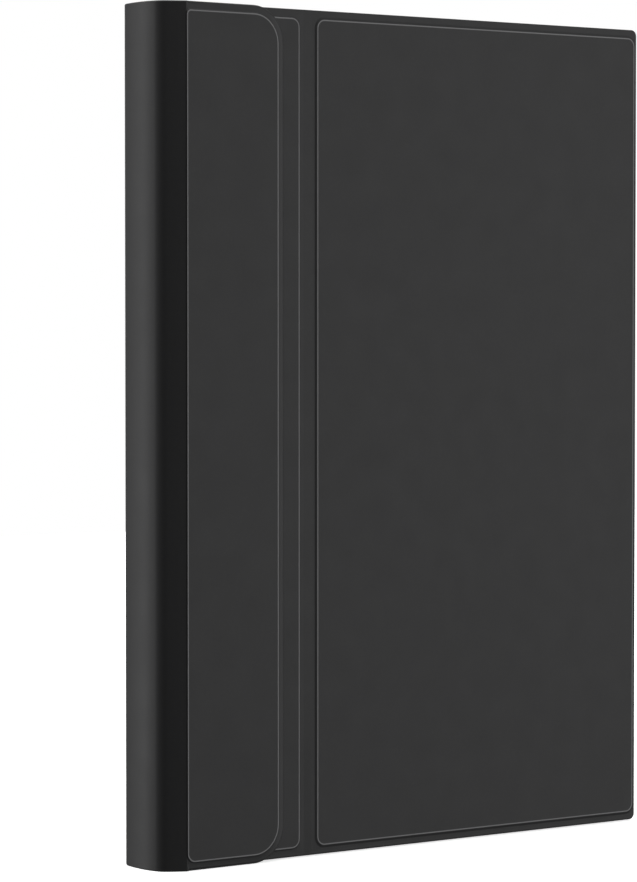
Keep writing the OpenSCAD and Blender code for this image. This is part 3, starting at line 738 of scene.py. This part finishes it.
KEYS_W = DECK_HI.z - DECK_LO.z - 8  # length of the key field
PITCH = KEYS_W / 14.5               # 14.5 key units to a row, and 14 function keys
FN_PITCH = KEYS_W / 14
ROW_PITCH = 16.4
KEY_GAP = 1.6
KEY_LEN = ROW_PITCH - KEY_GAP
FN_LEN = 8.6
FN_X = DECK_LO.x + 8.5
ROW_X0 = FN_X + FN_LEN / 2 + KEY_GAP + KEY_LEN / 2
ARROW_LEN = (KEY_LEN - KEY_GAP / 2) / 2
CAP_TOP, CAP_T = KEY_LO.y, 2.0
CAP_WALL, CAP_ROOF = 0.9, 0.6  # a cap is hollow, so that it clears the dome under it when it is down
DISH = 0.12                    # depth of the dish in a cap's top
DRAFT, RIM_R = 0.22, 0.4       # how far a cap's side leans in, and the round at its rim

# Keys as (start along the row, width, legend), in key units; arrows also say which half of the row
NUMBERS = [(k, 1, c) for k, c in enumerate("`1234567890-=")]
UPPER = [(1.5 + k, 1, c) for k, c in enumerate("QWERTYUIOP[]\\")]
HOME = [(1.75 + k, 1, c) for k, c in enumerate("ASDFGHJKL;'")]
LOWER = [(2.25 + k, 1, c) for k, c in enumerate("ZXCVBNM,./")]
FUNCTIONS = [(k, 1, c) for k, c in enumerate(["esc"] + ["F%d" % n for n in range(1, 13)] + ["del"])]
MODIFIERS = [(0, 1, "fn"), (1, 1, "ctrl"), (2, 1, "alt"), (3, 1.25, "menu"), (9.25, 1.25, "alt"),
             (10.5, 1, "ctrl")]
ARROWS = [(11.5, 1, "<", 1), (12.5, 1, "^", -1), (12.5, 1, "v", 1), (13.5, 1, ">", 1)]


def cell(x, length, start, units, pitch=PITCH):
    """A key's rectangle: low and high x, low and high z."""
    z0 = MID_Z - KEYS_W / 2 + start * pitch + KEY_GAP / 2
    return x - length / 2, x + length / 2, z0, z0 + units * pitch - KEY_GAP


def row_cells(row, keys):
    """The cells of a row of full-size keys; row 2 is the number row."""
    return [(cell(ROW_X0 + (row - 2) * ROW_PITCH, KEY_LEN, s, u), text) for s, u, text in keys]


def arrow_cells():
    """The cells of the four half-height arrow keys, at the end of the last row."""
    x = ROW_X0 + 4 * ROW_PITCH
    shift = (KEY_LEN - ARROW_LEN) / 2
    return [(cell(x + side * shift, ARROW_LEN, s, u), text) for s, u, text, side in ARROWS]


KEY_GROUPS = {
    "function_keys": [(cell(FN_X, FN_LEN, s, u, FN_PITCH), text) for s, u, text in FUNCTIONS],
    "number_keys": row_cells(2, NUMBERS),
    "upper_letter_keys": row_cells(3, UPPER),
    "home_letter_keys": row_cells(4, HOME),
    "lower_letter_keys": row_cells(5, LOWER),
    "modifier_keys": row_cells(6, MODIFIERS),
    "arrow_keys": arrow_cells(),
    "space_bar": row_cells(6, [(4.25, 5, "")]),
    "backspace_key": row_cells(2, [(13, 1.5, "backspace")]),
    "tab_key": row_cells(3, [(0, 1.5, "tab")]),
    "caps_key": row_cells(4, [(0, 1.75, "caps")]),
    "enter_key": row_cells(4, [(12.75, 1.75, "enter")]),
    "left_shift_key": row_cells(5, [(0, 2.25, "shift")]),
    "right_shift_key": row_cells(5, [(12.25, 2.25, "shift")]),
}


def keycap(bm, rect):
    """A hollow cap with drafted sides, a rounded rim and a shallow dish."""
    x0, x1, z0, z1 = rect
    box = (x0, x1, z0, z1, [1.6] * 4)
    half = min(x1 - x0, z1 - z0) / 2
    rows = [(CAP_WALL + 0.6, CAP_ROOF, 0), (CAP_WALL, CAP_ROOF, 0), (CAP_WALL, CAP_T, 0),
            (0.15, CAP_T, 0), (0.0, CAP_T - 0.15, 0), (DRAFT, RIM_R + 0.05, 0.2)]
    rows += [(DRAFT + a, b, 0.8) for a, b in turn(RIM_R, 5)]
    start, flat = DRAFT + RIM_R, min(3.0, half - 0.9)
    for t in (0.06, 0.25, 0.45, 0.65, 0.85, 1.0):
        rows.append((start + (flat - start) * t, DISH * ease(t), 1 - t))
    rings = [ring(box, i, CAP_TOP + d, steps=6, cuts=0) for i, d, _ in rows]
    loft(bm, rings, [mark for _, _, mark in rows])


def homing_bar(bm, rect):
    """The small raised bar on two of the home keys."""
    x0, x1, z0, z1 = rect
    x, z = x1 - 3.2, (z0 + z1) / 2
    box = (x - 0.4, x + 0.4, z - 1.7, z + 1.7, [0.38] * 4)
    rows = ((0, 0.3), (0.02, 0.0), (0.1, -0.08), (0.22, -0.11))
    rings = [ring(box, i, CAP_TOP + d, steps=4, cuts=0) for i, d in rows]
    loft(bm, rings)


def write_legend(bm, text, rect):
    """Adds the legend of one key, reading from the low z side to the high z side."""
    x0, x1, z0, z1 = rect
    size = min(3.6, 0.3 * (x1 - x0)) if len(text) == 1 else 2.3
    curve = bpy.data.curves.new("legend", "FONT")
    curve.body, curve.size, curve.extrude = text, size, 0.02
    curve.align_x, curve.align_y, curve.resolution_u = "CENTER", "CENTER", 3
    holder = bpy.data.objects.new("legend", curve)
    bpy.context.scene.collection.objects.link(holder)
    shape = holder.evaluated_get(bpy.context.evaluated_depsgraph_get())
    mesh = bpy.data.meshes.new_from_object(shape)
    bpy.data.objects.remove(holder)
    ink_y = CAP_TOP + DISH
    cx, cz = (x0 + x1) / 2, (z0 + z1) / 2
    verts = [bm.verts.new((cx - v.co.y, ink_y - v.co.z, cz + v.co.x)) for v in mesh.vertices]
    for face in mesh.polygons:
        bm.faces.new([verts[i] for i in face.vertices])
    bpy.data.meshes.remove(mesh)


def key_groups():
    """The caps of each key group, and the legends on them."""
    for node, cells in KEY_GROUPS.items():
        caps = bmesh.new()
        for rect, text in cells:
            keycap(caps, rect)
            if text in ("F", "J") and node == "home_letter_keys":
                homing_bar(caps, rect)
        finish_piece(make_object(node + "_caps", caps, KEY_MAT), node, [node])
        if node == "space_bar":
            continue
        ink = bmesh.new()
        for rect, text in cells:
            write_legend(ink, text, rect)
        bmesh.ops.remove_doubles(ink, verts=ink.verts, dist=1e-4)
        finish_piece(make_object(node + "_legends", ink, INK_MAT), node)


def well_cutter(bm, rect, gap, radius, y_top, y_end):
    """A well through the deck whose rim flares open in a small round."""
    x0, x1, z0, z1 = rect
    box = (x0 - gap, x1 + gap, z0 - gap, z1 + gap, [radius] * 4)
    flare = 0.22
    rows = [(-flare, y_top - 0.4), (-flare, y_top)]
    rows += [(-d, y_top + i) for i, d in turn(flare, 4)[1:]]
    rows.append((0, y_end))
    loft(bm, [ring(box, i, y, steps=6, cuts=0) for i, y in rows])


def deck_openings():
    """Cutters for the deck's wells, the status light, the charging port and the power switch."""
    top, end = DECK_LO.y, DECK_LO.y + 1.6
    cutter = bmesh.new()
    for cells in KEY_GROUPS.values():
        for rect, _ in cells:
            well_cutter(cutter, rect, 0.42, 1.9, top, end)
    well_cutter(cutter, (PAD_LO.x, PAD_HI.x, PAD_LO.z, PAD_HI.z), 0.35, 3.3, top, end)
    lo, hi = span("status_light")
    well_cutter(cutter, (lo.x, hi.x, lo.z, hi.z), 0.05, 0.88, top, end)
    lo, hi = span("usb_c_port")
    slot_cutter(cutter, lo.x - 0.2, hi.x + 0.2, lo.y - 0.15, hi.y + 0.15, DECK_LO.z - 1, DECK_LO.z + 2)
    lo, hi = span("power_switch")
    mid = (lo.y + hi.y) / 2
    slot_cutter(cutter, lo.x + 0.4, hi.x + 3.6, mid - 1.1, mid + 1.1, DECK_HI.z - 2, DECK_HI.z + 1)
    return make_object("deck_cutter", cutter)


def keyboard_deck():
    """The keyboard's top shell, with a well for every key and the touchpad."""
    box = (DECK_LO.x, DECK_HI.x, DECK_LO.z, DECK_HI.z, [6] * 4)
    deck_y, split_y, wall, edge = DECK_LO.y, DECK_HI.y, 1.2, 0.9
    rings = [ring(box, inset, y) for inset, y in (
        (8, deck_y + 1), (wall + 0.3, deck_y + 1), (wall, deck_y + 1.3), (wall, split_y),
        (0.12, split_y), (0.0, split_y - 0.12))]
    rings += [ring(box, i, deck_y + d) for i, d in turn(edge, 8)]
    rings += [ring(box, edge + 0.3, deck_y)]
    bm = bmesh.new()
    loft(bm, rings)
    deck = make_object("keyboard_deck", bm, CASE_MAT)
    carve(deck, deck_openings())
    finish_piece(deck, "keyboard", ["keyboard_top_case"])


def touchpad():
    """The touchpad's plate, with a rounded rim."""
    box = (PAD_LO.x, PAD_HI.x, PAD_LO.z, PAD_HI.z, [3] * 4)
    rows = [(0.1, PAD_HI.y), (0, PAD_HI.y - 0.1), (0, PAD_LO.y + 0.22), (0.06, PAD_LO.y + 0.1),
            (0.16, PAD_LO.y + 0.03), (0.28, PAD_LO.y), (0.7, PAD_LO.y), (5, PAD_LO.y)]
    bm = bmesh.new()
    loft(bm, [ring(box, i, y) for i, y in rows])
    plate = make_object("touchpad_plate", bm, PAD_MAT)
    finish_piece(plate, "touchpad", ["touchpad"])


def disc(bm, x, z, rows, steps=28):
    """A turned piece along Y from rows of (radius, y)."""
    rings = []
    for r, y in rows:
        angles = [2 * math.pi * k / steps for k in range(steps)]
        rings.append([(x + r * math.cos(a), y, z + r * math.sin(a)) for a in angles])
    loft(bm, rings)


SCREWS = [(x, z) for x in (BASE_LO.x + 3.2, BASE_HI.x - 3.2)
          for z in (BASE_LO.z + 3.2, MID_Z, BASE_HI.z - 3.2)]
FEET = [(x, z) for x in (BASE_LO.x + 9, BASE_HI.x - 9) for z in (BASE_LO.z + 12, BASE_HI.z - 12)]
BACK_Y = BASE_HI.y
SUNK = BACK_Y - 0.5  # the floor of the screws' and feet's recesses


def keyboard_base():
    """The bottom shell, with recesses for its screws and feet."""
    box = (BASE_LO.x, BASE_HI.x, BASE_LO.z, BASE_HI.z, [6] * 4)
    split_y = BASE_LO.y
    rows = [(8, split_y), (0.12, split_y), (0, split_y + 0.12)]
    rows += [(i, BACK_Y - d) for i, d in turn(0.5)]
    rows += [(1, BACK_Y), (6, BACK_Y)]
    bm = bmesh.new()
    loft(bm, [ring(box, i, y) for i, y in rows])
    base = make_object("keyboard_base", bm, CASE_MAT)
    cutter = bmesh.new()
    for x, z in SCREWS:
        disc(cutter, x, z, [(1.32, SUNK), (1.32, BACK_Y - 0.1), (1.5, BACK_Y + 0.08), (1.5, BACK_Y + 0.5)])
    for x, z in FEET:
        rows = [(4.08, SUNK), (4.08, BACK_Y - 0.08), (4.25, BACK_Y + 0.09), (4.25, BACK_Y + 0.5)]
        disc(cutter, x, z, rows, 40)
    carve(base, make_object("base_cutter", cutter))
    finish_piece(base, "keyboard", ["keyboard_bottom_case"])


def screw_heads():
    """Domed heads with a cross recess, over short shanks."""
    heads, cross = bmesh.new(), bmesh.new()
    for x, z in SCREWS:
        disc(heads, x, z, [(0.7, SUNK - 1.4), (0.7, SUNK), (1.25, SUNK + 0.01), (1.25, SUNK + 0.28),
                           (1.12, SUNK + 0.38), (0.9, SUNK + 0.43)])
        for along, across in ((0.75, 0.16), (0.16, 0.75)):
            points = outline(x - along, x + along, z - across, z + across, [0.1] * 4, steps=2, cuts=0)
            loft(cross, [[(px, y, pz) for px, pz in points] for y in (SUNK + 0.15, SUNK + 1)])
    obj = make_object("screw_heads", heads, STEEL_MAT)
    carve(obj, make_object("cross_cutter", cross), sharp=30)
    finish_piece(obj, "keyboard", ["case_screws"])


def foot_pads():
    """The round soft feet, standing a little proud of the bottom shell."""
    bm = bmesh.new()
    for x, z in FEET:
        disc(bm, x, z, [(3.9, SUNK), (4.0, SUNK + 0.05), (4.0, BACK_Y + 0.02), (3.93, BACK_Y + 0.12),
                        (3.75, BACK_Y + 0.19), (3.4, BACK_Y + 0.2)], 48)
    finish_piece(make_object("keyboard_foot_pads", bm, TPU_MAT), "keyboard", ["keyboard_feet"])


def power_switch():
    """The slider's knob with grip ridges, on its sliding plate."""
    lo, hi = span("power_switch")
    mid = (lo.y + hi.y) / 2
    bm = bmesh.new()
    plate = outline(lo.x, hi.x, lo.y, hi.y, [0.3] * 4, steps=3, cuts=0)
    loft(bm, [[(x, y, z) for x, y in plate] for z in (lo.z, lo.z + 1)])
    x0, x1, y0, y1 = lo.x + 0.8, hi.x - 0.8, mid - 0.8, mid + 0.8
    rings = []
    for inset, z in ((0, lo.z + 0.9), (0, hi.z - 0.25), (0.08, hi.z - 0.1), (0.25, hi.z)):
        points = outline(x0 + inset, x1 - inset, y0 + inset, y1 - inset, [0.4] * 4, steps=4, cuts=0)
        rings.append([(x, y, z) for x, y in points])
    loft(bm, rings)
    knob = make_object("power_switch_knob", bm, CASE_MAT)
    grooves = bmesh.new()
    for k in range(4):
        x = x0 + 1.1 + k
        points = outline(x - 0.17, x + 0.17, mid - 1, mid + 1, [0.1] * 4, steps=2, cuts=0)
        loft(grooves, [[(px, py, z) for px, py in points] for z in (hi.z - 0.15, hi.z + 0.5)])
    carve(knob, make_object("groove_cutter", grooves), sharp=30)
    finish_piece(knob, "power_switch", ["power_switch"])


# ------------------------------------------------------------ stage, light and camera

FLOOR_HALF = 1400.0   # half the floor's width
SOFT_BOXES = [        # name, place, width and height, power
    ("right_front_box", (1.15, -1.35, 0.3), (1.6, 1.8), 13),
    ("left_back_strip", (-0.93, 0.83, 0.25), (0.2, 1.8), 8.5),
    ("back_box", (0.6, 1.7, 0.8), (0.9, 1.4), 8),
    ("overhead_box", (-0.1, 0.3, 1.7), (2.4, 2.4), 34),
]
LIT_AT = (0, 0, 0.13)  # where every soft box points
BACKDROP, SURROUND = 1.0, 0.2  # the world's strength for the camera, and for everything else


def stage_floor():
    """A white floor that glows a little, takes shadows, and throws no light back on the dark leather."""
    bm = bmesh.new()
    bmesh.ops.create_grid(bm, x_segments=2, y_segments=2, size=FLOOR_HALF)
    shader = Shader("studio_floor", (0.86, 0.86, 0.86), 0.85,
                    Specular_IOR_Level=0.2, Emission_Strength=0.68)
    shader.bsdf.inputs["Emission Color"].default_value = (1, 1, 1, 1)
    shader.tint(shader.noise(400, 2), (0.84, 0.84, 0.84))
    shader.bump(shader.noise(4, 2), 0.02, 0.2)
    floor = make_object("studio_floor", bm, shader.material)
    floor.visible_diffuse = floor.visible_glossy = floor.visible_shadow = False


def soft_box(name, place, size, power):
    """A white rectangular light that faces the folio."""
    data = bpy.data.lights.new(name, "AREA")
    data.shape, data.size, data.size_y = "RECTANGLE", *size
    data.energy = power
    lamp = bpy.data.objects.new(name, data)
    lamp.location = place
    lamp.rotation_euler = (Vector(LIT_AT) - Vector(place)).to_track_quat("-Z", "Y").to_euler()
    bpy.context.scene.collection.objects.link(lamp)


def studio():
    """A dim surround with soft boxes: the background is plain white where the camera looks past them."""
    bpy.context.scene.view_settings.view_transform = "Standard"
    world = bpy.data.worlds.new("studio")
    bpy.context.scene.world = world
    world.use_nodes = True
    nodes, links = world.node_tree.nodes, world.node_tree.links
    backdrop, surround = nodes["Background"], nodes.new("ShaderNodeBackground")
    for node, strength in ((backdrop, BACKDROP), (surround, SURROUND)):
        node.inputs["Color"].default_value = (1, 1, 1, 1)
        node.inputs["Strength"].default_value = strength
    path, mix = nodes.new("ShaderNodeLightPath"), nodes.new("ShaderNodeMixShader")
    links.new(path.outputs["Is Camera Ray"], mix.inputs["Fac"])
    links.new(surround.outputs["Background"], mix.inputs[1])
    links.new(backdrop.outputs["Background"], mix.inputs[2])
    links.new(mix.outputs["Shader"], nodes["World Output"].inputs["Surface"])
    for box in SOFT_BOXES:
        soft_box(*box)


# The camera stands far off, a little above the folio's middle, and to the left of its flat side
LENS, SENSOR, DISTANCE, FAR = 150.9, 36, 1.118, 20
AZIMUTH, ELEVATION = math.radians(-37.4), math.radians(1.98)
TARGET = Vector((-0.0352, FOLD_Y * MM - EMBOSS * MM, 0.1259))


def add_camera():
    """The main view's camera, aimed at TARGET."""
    data = bpy.data.cameras.new("camera")
    data.lens, data.sensor_width, data.clip_end = LENS, SENSOR, FAR
    camera = bpy.data.objects.new("camera", data)
    level = math.cos(ELEVATION)
    back = Vector((math.sin(AZIMUTH) * level, -math.cos(AZIMUTH) * level, math.sin(ELEVATION)))
    camera.location = TARGET + back * DISTANCE
    camera.rotation_euler = back.to_track_quat("Z", "Y").to_euler()
    bpy.context.scene.collection.objects.link(camera)
    bpy.context.scene.camera = camera


dress_cad_nodes()
covers()
spine_leather()
fold_leather()
spine_fabric()
stand_bar()
tablet_tray()
keyboard_deck()
keyboard_base()
screw_heads()
foot_pads()
touchpad()
power_switch()
key_groups()
stage_floor()
studio()
add_camera()
